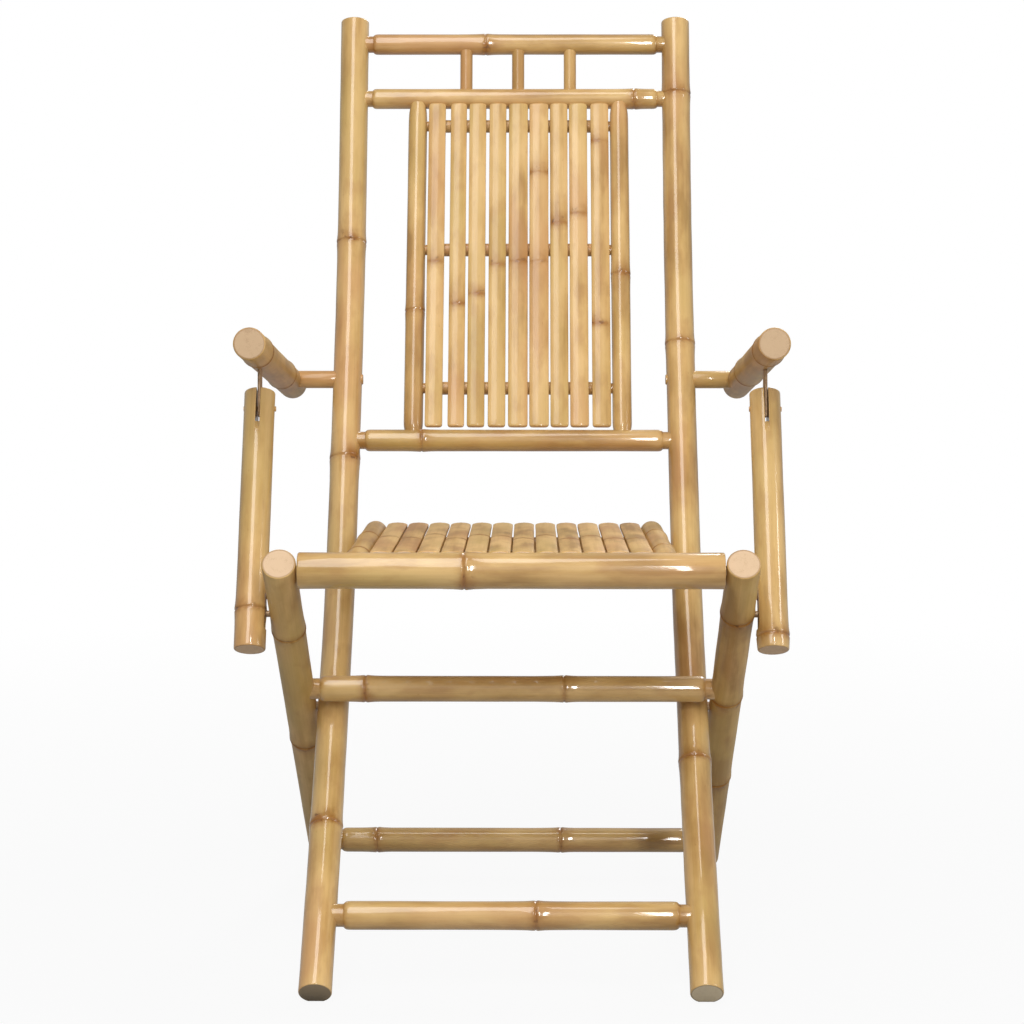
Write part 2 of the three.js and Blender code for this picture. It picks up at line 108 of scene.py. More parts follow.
@dataclass(frozen=True)
class Nodes:
    """A node tree, with methods that add its nodes and wire them together."""

    tree: bpy.types.NodeTree

    def add(self, kind: str, **settings: object) -> Node:
        """Adds a node.

        Args:
            kind: The node's type name.
            settings: Values for its sockets, or for its properties where no socket is so named.

        Returns:
            The new node.
        """
        node = self.tree.nodes.new(kind)
        for key, value in settings.items():
            socket = node.inputs.get(key.replace("_", " "))
            if socket is None:
                setattr(node, key, value)
            else:
                socket.default_value = value
        return node

    def join(self, source: Socket, target: Socket) -> None:
        """Links an output to an input."""
        self.tree.links.new(source, target)

    def attribute(self, name: str, output: str = "Fac") -> Socket:
        """Reads one of the mesh's own attributes."""
        return self.add("ShaderNodeAttribute", attribute_name=name).outputs[output]

    def maths(self, operation: str, first: Socket | float, second: Socket | float) -> Socket:
        """Adds a Math node.

        Args:
            operation: The Math node's operation.
            first: A number or a socket.
            second: A number or a socket.

        Returns:
            The node's output.
        """
        node = self.add("ShaderNodeMath", operation=operation)
        for slot, value in zip(node.inputs, (first, second)):
            if isinstance(value, Socket):
                self.join(value, slot)
            else:
                slot.default_value = value
        return node.outputs[0]

    def times(self, first: Socket | float, second: Socket | float) -> Socket:
        """Multiplies two values."""
        return self.maths("MULTIPLY", first, second)

    def scaled(self, value: Socket, factor: float, offset: float) -> Socket:
        """Multiplies a value by a factor and adds an offset."""
        return self.maths("ADD", self.times(value, factor), offset)

    def noise(self, vector: Socket, along: float, size: float, detail: float) -> Socket:
        """Adds noise that can be drawn out along Z.

        Args:
            vector: The coordinates.
            along: The scale along Z, under 1 where the pattern is drawn out.
            size: The noise's scale.
            detail: The noise's detail.

        Returns:
            The noise's value.
        """
        mapping = self.add("ShaderNodeMapping", Scale=(1.0, 1.0, along))
        self.join(vector, mapping.inputs["Vector"])
        noise = self.add("ShaderNodeTexNoise", Scale=size, Detail=detail)
        self.join(mapping.outputs[0], noise.inputs["Vector"])
        return noise.outputs[0]

    def ramp(self, value: Socket, stops: list[tuple[float, Color]]) -> Socket:
        """Adds a colour ramp.

        Args:
            value: The factor.
            stops: Position and linear colour of each stop.

        Returns:
            The colour output.
        """
        node = self.add("ShaderNodeValToRGB")
        elements = node.color_ramp.elements
        while len(elements) < len(stops):
            elements.new(0.5)
        for element, (position, color) in zip(elements, stops):
            element.position = position
            element.color = (*color, 1.0)
        self.join(value, node.inputs[0])
        return node.outputs[0]

    def fade(self, value: Socket, low: float, high: float) -> Socket:
        """Turns a value black up to low and white from high on."""
        return self.ramp(value, [(low, BLACK), (high, WHITE)])

    def blend(self, factor: Socket | float, under: Socket, over: Socket | Color,
              kind: str = "MIX") -> Socket:
        """Mixes two colours.

        Args:
            factor: A number or a socket.
            under: The lower colour's socket.
            over: A colour or a socket.
            kind: The blend type.

        Returns:
            The mixed colour.
        """
        node = self.add("ShaderNodeMix", data_type="RGBA", blend_type=kind)
        factor_slot, under_slot, over_slot, result = 0, 6, 7, 2
        for slot, value in ((factor_slot, factor), (under_slot, under), (over_slot, over)):
            if isinstance(value, Socket):
                self.join(value, node.inputs[slot])
            elif isinstance(value, tuple):
                node.inputs[slot].default_value = (*value, 1.0)
            else:
                node.inputs[slot].default_value = value
        return node.outputs[result]

    def bump(self, shader: Node, height: Socket, strength: float, distance: float) -> None:
        """Gives a shader's surface a fine relief.

        Args:
            shader: The shader.
            height: The relief's height.
            strength: The bump's strength.
            distance: The bump's depth.
        """
        node = self.add("ShaderNodeBump", Strength=strength, Distance=distance)
        self.join(height, node.inputs["Height"])
        self.join(node.outputs[0], shader.inputs["Normal"])


def new_material(name: str) -> tuple[Material, Nodes, Node]:
    """Starts a material.

    Args:
        name: The material's name.

    Returns:
        The material, its nodes and its main shader.
    """
    material = bpy.data.materials.new(name)
    material.use_nodes = True
    return material, Nodes(material.node_tree), material.node_tree.nodes["Principled BSDF"]


@dataclass(frozen=True)
class BambooFinish:
    """Varnished bamboo: cloudy golden patches, soft streaks, fine fibres and browned rings."""

    name: str
    pale: Color = (0.71, 0.465, 0.185)
    middle: Color = (0.58, 0.355, 0.125)
    deep: Color = (0.42, 0.235, 0.075)
    green: Color = (0.52, 0.355, 0.105)
    rosy: Color = (0.56, 0.285, 0.115)
    smear: Color = (0.45, 0.235, 0.078)
    ring: Color = (0.32, 0.130, 0.022)
    scar: Color = (0.13, 0.050, 0.012)
    fibre: Color = (0.86, 0.83, 0.78)
    roughness: float = 0.38
    roughness_swing: float = 0.18
    coat: float = 0.90
    coat_roughness: float = 0.075
    gloss: float = 0.25

    def build(self) -> Material:
        """Wires the material.

        Returns:
            The material.
        """
        material, nodes, shader = new_material(self.name)
        grain = nodes.attribute("grain", "Vector")
        cloud = nodes.noise(grain, along=0.34, size=34.0, detail=7.0)
        color = self.ground(nodes, cloud, grain)
        color = self.tint(nodes, color, grain)
        fine = nodes.noise(grain, along=0.012, size=900.0, detail=3.0)
        fibres = nodes.ramp(fine, [(0.30, self.fibre), (0.60, WHITE)])
        color = nodes.blend(0.35, color, fibres, "MULTIPLY")
        color = self.brown(nodes, color, grain)
        nodes.join(color, shader.inputs["Base Color"])
        rough = nodes.scaled(cloud, self.roughness_swing, self.roughness - self.roughness_swing / 2)
        nodes.join(rough, shader.inputs["Roughness"])
        shader.inputs["Specular IOR Level"].default_value = self.gloss
        shader.inputs["Coat Weight"].default_value = self.coat
        shader.inputs["Coat Roughness"].default_value = self.coat_roughness
        relief = nodes.noise(grain, along=0.22, size=46.0, detail=1.5)
        furrow = nodes.noise(grain, along=0.02, size=380.0, detail=0.5)
        height = nodes.maths("ADD", nodes.times(furrow, 0.16), nodes.times(relief, 1.3))
        nodes.bump(shader, height, strength=0.22, distance=1.0 * MM)
        return material

    def ground(self, nodes: Nodes, cloud: Socket, grain: Socket) -> Socket:
        """Mixes the main tones.

        Args:
            nodes: The material's nodes.
            cloud: The broad noise.
            grain: The grain coordinates.

        Returns:
            The ground colour.
        """
        streak = nodes.noise(grain, along=0.045, size=120.0, detail=4.0)
        mixed = nodes.maths("ADD", nodes.times(cloud, 0.68), nodes.times(streak, 0.32))
        shifted = nodes.maths("ADD", mixed, nodes.times(nodes.attribute("tone"), 0.30))
        return nodes.ramp(shifted, [(0.38, self.deep), (0.49, self.middle), (0.61, self.pale)])

    def tint(self, nodes: Nodes, color: Socket, grain: Socket) -> Socket:
        """Adds greener and rosier patches and brown smears.

        Args:
            nodes: The material's nodes.
            color: The ground colour.
            grain: The grain coordinates.

        Returns:
            The tinted colour.
        """
        patch = nodes.noise(grain, along=0.30, size=14.0, detail=3.0)
        greens = nodes.fade(patch, 0.50, 0.66)
        color = nodes.blend(nodes.times(greens, 0.50), color, self.green)
        warm = nodes.ramp(patch, [(0.34, WHITE), (0.47, BLACK)])
        color = nodes.blend(nodes.times(warm, 0.60), color, self.rosy)
        smears = nodes.fade(nodes.noise(grain, along=0.42, size=52.0, detail=8.0), 0.54, 0.66)
        return nodes.blend(nodes.times(smears, 0.36), color, self.smear)

    def brown(self, nodes: Nodes, color: Socket, grain: Socket) -> Socket:
        """Browns the rings and their surroundings and adds specks and small scars.

        Args:
            nodes: The material's nodes.
            color: The tinted colour.
            grain: The grain coordinates.

        Returns:
            The browned colour.
        """
        ring = nodes.attribute("ring")
        halo = nodes.attribute("halo")
        stain = nodes.fade(nodes.noise(grain, along=0.7, size=62.0, detail=4.0), 0.40, 0.62)
        color = nodes.blend(nodes.times(halo, nodes.scaled(stain, 0.66, 0.22)), color, self.ring)
        color = nodes.blend(nodes.times(ring, nodes.scaled(stain, 0.50, 0.36)), color, self.ring)
        scars = nodes.fade(nodes.noise(grain, along=1.0, size=150.0, detail=1.0), 0.60, 0.68)
        kept = nodes.times(nodes.times(halo, halo), scars)
        color = nodes.blend(nodes.times(kept, stain), color, self.scar)
        specks = nodes.fade(nodes.noise(grain, along=0.35, size=420.0, detail=2.0), 0.70, 0.78)
        return nodes.blend(nodes.times(specks, 0.30), color, self.ring)


@dataclass(frozen=True)
class EndGrainFinish:
    """The sawn end of a pole: pale, with dots of fibre and a browner rim."""

    name: str
    pale: Color = (0.66, 0.46, 0.28)
    dark: Color = (0.50, 0.32, 0.17)
    edge: Color = (0.30, 0.155, 0.06)
    roughness: float = 0.6

    def build(self) -> Material:
        """Wires the material.

        Returns:
            The material.
        """
        material, nodes, shader = new_material(self.name)
        grain = nodes.attribute("grain", "Vector")
        dots = nodes.add("ShaderNodeTexVoronoi", Scale=900.0)
        nodes.join(grain, dots.inputs["Vector"])
        clouds = nodes.noise(grain, along=1.0, size=120.0, detail=4.0)
        value = nodes.maths("ADD", nodes.times(dots.outputs[0], 0.35), nodes.times(clouds, 0.8))
        color = nodes.ramp(value, [(0.20, self.dark), (0.56, self.pale)])
        color = nodes.blend(nodes.times(nodes.attribute("rim"), 0.8), color, self.edge)
        nodes.join(color, shader.inputs["Base Color"])
        shader.inputs["Roughness"].default_value = self.roughness
        nodes.bump(shader, value, strength=0.3, distance=0.4 * MM)
        return material


@dataclass(frozen=True)
class MetalFinish:
    """Dull plated steel with brown tarnish."""

    name: str
    bright: Color = (0.44, 0.29, 0.16)
    dull: Color = (0.25, 0.15, 0.075)
    metallic: float = 0.30

    def build(self) -> Material:
        """Wires the material.

        Returns:
            The material.
        """
        material, nodes, shader = new_material(self.name)
        place = nodes.add("ShaderNodeTexCoord").outputs["Object"]
        patches = nodes.noise(place, along=1.0, size=160.0, detail=5.0)
        scratches = nodes.noise(place, along=0.05, size=900.0, detail=2.0)
        color = nodes.ramp(patches, [(0.35, self.dull), (0.65, self.bright)])
        nodes.join(color, shader.inputs["Base Color"])
        shader.inputs["Metallic"].default_value = self.metallic
        nodes.join(nodes.scaled(scratches, 0.25, 0.30), shader.inputs["Roughness"])
        nodes.bump(shader, scratches, strength=0.2, distance=0.2 * MM)
        return material


def made_by(maker: BambooFinish | EndGrainFinish | MetalFinish) -> Material:
    """Makes a dataclass field whose material is built when the finishes are."""
    return field(default_factory=maker.build)


@dataclass(frozen=True)
class Finishes:
    """The materials that the pieces share, built in this order."""

    pole: Material = made_by(BambooFinish("bamboo pole"))
    worn_pole: Material = made_by(BambooFinish(
        "worn bamboo pole", coat=0.10, roughness=0.46, gloss=0.15))
    strip: Material = made_by(BambooFinish(
        "bamboo strip", pale=(0.72, 0.475, 0.20), middle=(0.61, 0.38, 0.14), coat=0.40, roughness=0.42))
    # The seat strip is a lighter copy of the strip finish. Its paler tones are painted light, standing in
    # for the light that falls on the seat's top. Its lower coat and gloss belong to the finish itself.
    seat_strip_painted_lighter: Material = made_by(BambooFinish(
        "bamboo seat strip painted lighter", pale=(0.78, 0.51, 0.21), middle=(0.66, 0.41, 0.15), coat=0.10,
        roughness=0.48, gloss=0.14))
    dowel: Material = made_by(BambooFinish(
        "bamboo dowel", pale=(0.62, 0.37, 0.145), middle=(0.50, 0.28, 0.10), coat=0.35))
    end: Material = made_by(EndGrainFinish("bamboo end grain"))
    arm_end: Material = made_by(EndGrainFinish(
        "armrest end grain", pale=(0.53, 0.36, 0.205), dark=(0.40, 0.25, 0.13)))
    foot_end: Material = made_by(EndGrainFinish(
        "foot end grain", pale=(0.64, 0.53, 0.36), dark=(0.50, 0.40, 0.26), edge=(0.15, 0.10, 0.05)))
    metal: Material = made_by(MetalFinish("dull metal"))


def centre_of(node: str) -> Vector:
    """The middle of a frame node's box."""
    low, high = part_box(node)
    return (Vector(low) + Vector(high)) / 2


def spread_of(node: str) -> Vector:
    """The size of a frame node's box."""
    low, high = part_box(node)
    return Vector(high) - Vector(low)


def seed_of(node: str) -> int:
    """A seed for a node's random draws, the same in every run."""
    return sum(map(ord, node))


def lean_of(node: str, thickness: float) -> tuple[float, float]:
    """Finds how a straight piece leans in the side view from its box, by halving.

    Args:
        node: The frame node.
        thickness: The piece's thickness across its length.

    Returns:
        The angle from the horizontal and the length.
    """
    size = spread_of(node)
    low, high = 0.0, math.pi / 2
    for _ in range(HALVINGS):
        angle = (low + high) / 2
        rise = size.y * math.sin(angle) - size.z * math.cos(angle) + thickness * math.cos(2 * angle)
        if rise > 0:
            high = angle
        else:
            low = angle
    if size.y > size.z:
        length = (size.y - thickness * math.sin(angle)) / math.cos(angle)
    else:
        length = (size.z - thickness * math.cos(angle)) / math.sin(angle)
    return angle, length


def leaning_ends(node: str, thickness: float, rises_back: bool) -> tuple[Vector, Vector]:
    """Finds the two ends of a straight piece that leans in the side view.

    Args:
        node: The frame node.
        thickness: The piece's thickness across its length.
        rises_back: Whether its rear end is the higher one.

    Returns:
        Its front end and its rear end.
    """
    angle, length = lean_of(node, thickness)
    rise = math.sin(angle) if rises_back else -math.sin(angle)
    half = Vector((0, math.cos(angle), rise)) * (length / 2)
    middle = centre_of(node)
    return middle - half, middle + half


def crossing_ends(node: str) -> tuple[Vector, Vector]:
    """Finds the two ends of a piece that runs along X.

    Args:
        node: The frame node.

    Returns:
        Its left end and its right end.
    """
    low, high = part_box(node)
    middle = centre_of(node)
    return Vector((low[0], middle.y, middle.z)), Vector((high[0], middle.y, middle.z))


def places_of(mesh: bpy.types.Mesh) -> np.ndarray:
    """Reads where a mesh's vertices are.

    Args:
        mesh: The mesh.

    Returns:
        An array with a row of X, Y and Z for each vertex.
    """
    places = np.empty(len(mesh.vertices) * 3)
    mesh.vertices.foreach_get("co", places)
    return places.reshape(-1, 3)


def deselect() -> None:
    """Deselects every object."""
    for other in bpy.context.selected_objects:
        other.select_set(False)


def only(piece: Object) -> None:
    """Makes a piece the only selected and the active object.

    Args:
        piece: The piece.
    """
    deselect()
    piece.select_set(True)
    bpy.context.view_layer.objects.active = piece


@dataclass
class Piece:
    """A piece that is lofted along its own Z and then laid in the chair.

    A station is a place along the length with a scale of the outline across X and across Y. The
    profiles give scales at steps in millimetres from a ring or an end, the neck's at shares of
    the radius, and the ring's give the swell alone.
    """

    name: str
    length: float
    half_width: float
    half_depth: float
    rings: Shares = ()
    start: EndStyle = EndStyle.SAWN
    end: EndStyle = EndStyle.SAWN
    tenon: float = 0.0
    flat: bool = False
    neck: float = 0.8
    ring_size: float = 1.0
    stain: float = 0.95
    swell_limit: float = RING_SWELL
    seed: int = 1
    steps: tuple[tuple[float, float], ...] = ()
    plain_step: float = 45 * MM

    RING_PROFILE = (
        (-22.0, 0.000), (-12.0, 0.012), (-6.0, 0.030), (-2.6, 0.046), (-1.3, 0.040), (-0.6, 0.016),
        (0.0, 0.004), (0.6, 0.016), (1.4, 0.050), (2.8, 0.058), (5.0, 0.040), (10.0, 0.014), (18.0, 0.000),
    )
    NECK_PROFILE = (
        (0.36, 0.0), (0.47, 0.05), (0.52, 0.30), (0.58, 0.58), (0.68, 0.84), (0.82, 0.96), (1.0, 1.0),
    )
    SHOULDER_PROFILE = ((0.0, 0.80), (4.0, 0.84), (8.0, 0.90), (13.0, 0.96), (20.0, 0.99), (28.0, 1.0))
    COPED_PROFILE = ((0.0, 0.82), (4.0, 0.88), (7.0, 0.94), (10.0, 0.98), (14.0, 1.0))
    RIM_PROFILE = ((0.0, 0.945), (0.35, 0.972), (0.9, 0.991), (1.7, 1.0))
    STRIP_RIM = ((0.0, 0.80), (0.4, 0.87), (1.0, 0.93), (1.8, 0.97), (3.0, 0.993), (4.5, 1.0))
    END_GUARD = 2.0 * MM
    RING_CLEAR = 24 * MM
    WAVER = (-0.014, 0.002)
    SQUARENESS = 0.36
    HOLLOW = 0.42
    RIM_INSETS = (0.09, 0.12)
    RIM_START = 0.87
    MARK_SEED = 1000
    GRAIN_SHIFTS = (2, 40)
    TONES = (-0.16, 0.20)
    RING_WIDTH = 2.6
    HALO_ABOVE = 12.0
    HALO_BELOW = 6.0
    HALO_STRENGTHS = (0.7, 1.0)
    NECK_HALO = (0.45, 0.30, 0.75)

    def ends(self) -> tuple[tuple[EndStyle, float, int], ...]:
        """Each end's style, its place and the way into the piece."""
        return (self.start, 0.0, 1), (self.end, self.length, -1)

    def profile(self, style: EndStyle) -> tuple[tuple[float, float], ...]:
        """Finds the profile of an end that is neither a neck nor buried.

        Args:
            style: The end's style.

        Returns:
            Step and scale of each station.
        """
        if style is EndStyle.SHOULDER:
            return self.SHOULDER_PROFILE
        if style is EndStyle.COPED:
            return self.COPED_PROFILE
        return self.STRIP_RIM if self.flat else self.RIM_PROFILE

    def stations(self) -> list[tuple[float, float, float]]:
        """Works out the stations along the piece.

        Returns:
            Place, scale across X and scale across Y of each station.
        """
        if self.steps:
            return [(place, scale, scale) for place, scale in self.steps]
        chance = random.Random(self.seed)
        found: dict[float, float] = {}
        for style, origin, way in self.ends():
            if style is EndStyle.NECK:
                found[origin - way * self.tenon] = self.neck
                for share, rise in self.NECK_PROFILE:
                    found[origin + way * share * self.half_width] = self.neck + (1 - self.neck) * rise
            elif style is EndStyle.BURIED:
                found[origin - way * self.tenon] = 1.0
            else:
                for step, scale in self.profile(style):
                    found[origin + way * step * MM] = scale
        low = max(place for place in found if place < self.length / 2) + self.END_GUARD
        high = min(place for place in found if place > self.length / 2) - self.END_GUARD
        limit = self.swell_limit / self.half_depth
        for share in self.rings:
            for step, swell in self.RING_PROFILE:
                place = share * self.length + step * MM
                if low < place < high:
                    found[place] = 1.0 + min(swell * self.ring_size, limit)
        plain = int((high - low) / self.plain_step)
        for index in range(1, plain):
            place = low + (high - low) * index / plain
            if all(abs(place - share * self.length) > self.RING_CLEAR for share in self.rings):
                found[place] = 1.0 + chance.uniform(*self.WAVER)
        widest = 1.0 if self.flat else math.inf
        return [(place, min(scale, widest), scale) for place, scale in sorted(found.items())]

    def outline(self) -> list[tuple[float, float]]:
        """Works out the section: round, or flat with a hollowed rear face.

        Returns:
            The points round it.
        """
        points = []
        for index in range(SIDES):
            turn = 2 * math.pi * index / SIDES
            cosine, sine = math.cos(turn), math.sin(turn)
            if not self.flat:
                points.append((self.half_width * cosine, self.half_depth * sine))
                continue
            x = math.copysign(abs(cosine) ** self.SQUARENESS, cosine) * self.half_width
            y = math.copysign(abs(sine) ** self.SQUARENESS, sine) * self.half_depth
            if sine < 0:
                y *= 1.0 - self.HOLLOW * (x / self.half_width) ** 2
            points.append((x, y))
        return points

    def loft(self) -> Object:
        """Extrudes the outline from station to station.

        Returns:
            The piece, along its own Z, with its grain, ring and tone attributes.
        """
        stations = self.stations()
        deselect()
        bpy.ops.mesh.primitive_circle_add(vertices=SIDES, radius=self.half_width, fill_type="NGON")
        piece = bpy.context.object
        piece.name = self.name
        place, scale_x, scale_y = stations[0]
        for vertex, (x, y) in zip(piece.data.vertices, self.outline()):
            vertex.co = (x * scale_x, y * scale_y, place)
        bpy.ops.object.mode_set(mode="EDIT")
        bpy.ops.mesh.select_all(action="SELECT")
        for before, after in zip(stations, stations[1:]):
            rise = (0, 0, after[0] - before[0])
            bpy.ops.mesh.extrude_region_move(TRANSFORM_OT_translate={"value": rise})
            grow = (after[1] / before[1], after[2] / before[2], 1)
            bpy.ops.transform.resize(value=grow, center_override=(0, 0, after[0]))
        bpy.ops.mesh.select_all(action="SELECT")
        bpy.ops.mesh.normals_make_consistent(inside=False)
        bpy.ops.object.mode_set(mode="OBJECT")
        if not self.flat:
            self.rim(piece)
        self.mark(piece)
        return piece

    def rim(self, piece: Object) -> None:
        """Insets the end faces, so that their edge can be darker than their middle.

        Args:
            piece: The lofted piece.
        """
        for polygon in piece.data.polygons:
            polygon.select = len(polygon.vertices) > 4
        for edge in piece.data.edges:
            edge.select = False
        bpy.ops.object.mode_set(mode="EDIT")
        bpy.ops.mesh.select_mode(type="FACE")
        for share in self.RIM_INSETS:
            bpy.ops.mesh.inset(thickness=share * self.half_width)
        bpy.ops.object.mode_set(mode="OBJECT")

    def mark(self, piece: Object) -> None:
        """Writes the attributes that the finishes read.

        Args:
            piece: The lofted piece, still along its own Z.
        """
        chance = random.Random(self.seed + self.MARK_SEED)
        mesh = piece.data
        places = places_of(mesh)
        offset = np.array([chance.uniform(*self.GRAIN_SHIFTS) for _ in range(3)])
        grain = mesh.attributes.new("grain", "FLOAT_VECTOR", "POINT")
        grain.data.foreach_set("vector", (places + offset).ravel())
        ring = np.zeros(len(places))
        halo = np.zeros(len(places))
        for share in self.rings:
            away = (places[:, 2] - share * self.length) / MM
            ring = np.maximum(ring, np.exp(-((away / self.RING_WIDTH) ** 2)))
            wide = np.where(away > 0, self.HALO_ABOVE, self.HALO_BELOW)
            strength = self.stain * chance.uniform(*self.HALO_STRENGTHS)
            halo = np.maximum(halo, np.exp(-((away / wide) ** 2)) * strength)
        middle, width, strength = self.NECK_HALO
        for style, origin, way in self.ends():
            if style is EndStyle.NECK:
                away = way * (places[:, 2] - origin) / self.half_width
                halo = np.maximum(halo, np.exp(-(((away - middle) / width) ** 2)) * strength)
        rim = (np.hypot(places[:, 0], places[:, 1]) > self.RIM_START * self.half_width).astype(float)
        tone = np.full(len(places), chance.uniform(*self.TONES))
        for name, values in (("ring", ring), ("rim", rim), ("halo", halo), ("tone", tone)):
            mesh.attributes.new(name, "FLOAT", "POINT").data.foreach_set("value", values)


@dataclass
class Builder:
    finishes: Finishes
    foot_reach: float = 60 * MM
    floor_tolerance: float = 0.01 * MM
    strip_ring_size: float = 1.6
    strip_sharp: float = 50.0
    end_normal: float = 0.95
    lengthwise: float = 0.9
    made: int = 0

    def dress(self, piece: Object, body_finish: Material,
              sharp: float = 38.0) -> None:
        """Gives a lofted piece its finish, with end grain on its sawn ends.

        Args:
            piece: The piece, along its own Z.
            body_finish: The finish of its sides.
            sharp: The angle in degrees past which an edge stays sharp.
        """
        piece.data.materials.append(body_finish)
        piece.data.materials.append(self.finishes.end)
        for polygon in piece.data.polygons:
            if abs(polygon.normal.z) > self.end_normal:
                polygon.material_index = END_SLOT
        only(piece)
        bpy.ops.object.shade_smooth_by_angle(angle=math.radians(sharp))

    def lay(self, piece: Object, start: Vector, end: Vector, facing: Vector) -> None:
        """Turns a piece so that its Z runs from start to end and its -Y faces a direction.

        Args:
            piece: The piece, along its own Z.
            start: Where its Z is zero.
            end: A point that its Z runs towards.
            facing: The way that its front looks.
        """
        along = (end - start).normalized()
        back = (-facing + along * facing.dot(along)).normalized()
        across = back.cross(along)
        turn = Matrix((across, back, along)).transposed().to_4x4()
        piece.data.transform(Matrix.Translation(start) @ turn)

    def declare(self, piece: Object, node: str) -> None:
        """Ties a piece to the frame node that it stands for.

        Args:
            piece: The finished piece.
            node: The node that it replaces.
        """
        record = frame["record"]
        body = next(name for name, nodes in record["behaviour"]["bodies"].items() if node in nodes)
        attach(piece, body)
        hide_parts(node)
        self.made += 1
        LOG.info("piece %s rides on %s", piece.name, body)

    def bar(self, node: str, start: Vector, end: Vector, radius: float, rings: Shares,
            finish: Material | None = None,
            style: tuple[EndStyle, EndStyle] = (EndStyle.SAWN, EndStyle.SAWN),
            tenon: float = 0.0) -> Object:
        """Makes and lays a round bar.

        Args:
            node: The node that it replaces.
            start: Its first end.
            end: Its other end.
            radius: Its radius.
            rings: Shares of its length that carry a ring.
            finish: The finish of its sides, bamboo pole unless given.
            style: How its ends are finished, sawn unless given.
            tenon: How far a neck reaches past the end.

        Returns:
            The piece, not yet declared.
        """
        maker = Piece(node + ".look", (end - start).length, radius, radius, rings, *style, tenon,
                      seed=seed_of(node))
        piece = maker.loft()
        self.dress(piece, finish or self.finishes.pole)
        crosswise = abs((end - start).normalized().y) < self.lengthwise
        self.lay(piece, start, end, FORWARD if crosswise else UP)
        return piece

    def rail(self, node: str, tenon: float, rings: Shares,
             finish: Material | None = None) -> None:
        """Makes a rail along X, with a neck and a tenon at both ends.

        Args:
            node: The node that it replaces.
            tenon: How far its necks reach into the posts.
            rings: Shares of its visible length that carry a ring.
            finish: The finish of its sides.
        """
        start, end = crossing_ends(node)
        inset = Vector((tenon, 0, 0))
        radius = spread_of(node).y / 2 - (RING_SWELL if rings else 0.0)
        style = (EndStyle.NECK, EndStyle.NECK)
        piece = self.bar(node, start + inset, end - inset, radius, rings, finish, style, tenon)
        self.declare(piece, node)

    def rod(self, node: str, rings: Shares, finish: Material | None = None,
            end_finish: Material | None = None) -> None:
        """Makes a round piece along X with plain ends.

        Args:
            node: The node that it replaces.
            rings: Shares of its length that carry a ring.
            finish: The finish of its sides, bamboo pole unless given.
            end_finish: The finish of its ends, bamboo end grain unless given.
        """
        start, end = crossing_ends(node)
        radius = spread_of(node).y / 2 - (RING_SWELL if rings else 0.0)
        piece = self.bar(node, start, end, radius, rings, finish)
        if end_finish:
            piece.data.materials[END_SLOT] = end_finish
        self.declare(piece, node)

    def strip(self, node: str, start: Vector, end: Vector, facing: Vector, half_depth: float,
              rings: Shares, finish: Material) -> None:
        """Makes a flat strip of split bamboo.

        Args:
            node: The node that it replaces.
            start: Its first end.
            end: Its other end.
            facing: The way that its rounded face looks.
            half_depth: Half its thickness.
            rings: Shares of its length that carry a ring.
            finish: The finish of its sides.
        """
        maker = Piece(node + ".look", (end - start).length, spread_of(node).x / 2, half_depth, rings,
                      flat=True, ring_size=self.strip_ring_size, seed=seed_of(node))
        piece = maker.loft()
        self.dress(piece, finish, self.strip_sharp)
        self.lay(piece, start, end, facing)
        self.declare(piece, node)

    def level_foot(self, piece: Object) -> None:
        """Cuts a pole level with the floor and gives the end faces near its foot a greyer end grain with a
        much darker rim.

        Args:
            piece: The pole, in its place.
        """
        only(piece)
        bpy.ops.object.mode_set(mode="EDIT")
        bpy.ops.mesh.select_all(action="SELECT")
        bpy.ops.mesh.bisect(plane_co=(0, 0, 0), plane_no=UP, use_fill=True, clear_inner=True,
                            threshold=self.floor_tolerance)
        bpy.ops.object.mode_set(mode="OBJECT")
        piece.data.materials.append(self.finishes.foot_end)
        for polygon in piece.data.polygons:
            if polygon.material_index == END_SLOT and polygon.center.z < self.foot_reach:
                polygon.material_index = FOOT_SLOT

    def carve(self, piece: Object, cutter: Object) -> None:
        """Cuts one piece out of another and removes the cutter.

        Args:
            piece: The piece that is cut.
            cutter: What is cut out of it.
        """
        only(piece)
        tool = piece.modifiers.new("carve", "BOOLEAN")
        tool.operation = "DIFFERENCE"
        tool.object = cutter
        bpy.ops.object.modifier_apply(modifier=tool.name)
        bpy.data.objects.remove(cutter)

    def block(self, name: str, size: Vector, centre: Vector, tilt: float) -> Object:
        """Adds a block turned about X, with its place in its mesh.

        Args:
            name: The block's name.
            size: Its size along its own axes.
            centre: Its middle.
            tilt: Its turn about X.

        Returns:
            The block.
        """
        deselect()
        bpy.ops.mesh.primitive_cube_add(size=1)
        piece = bpy.context.object
        piece.name = name
        turn = Matrix.Rotation(tilt, 4, "X") @ Matrix.Diagonal((*size, 1))
        piece.data.transform(Matrix.Translation(centre) @ turn)
        return piece


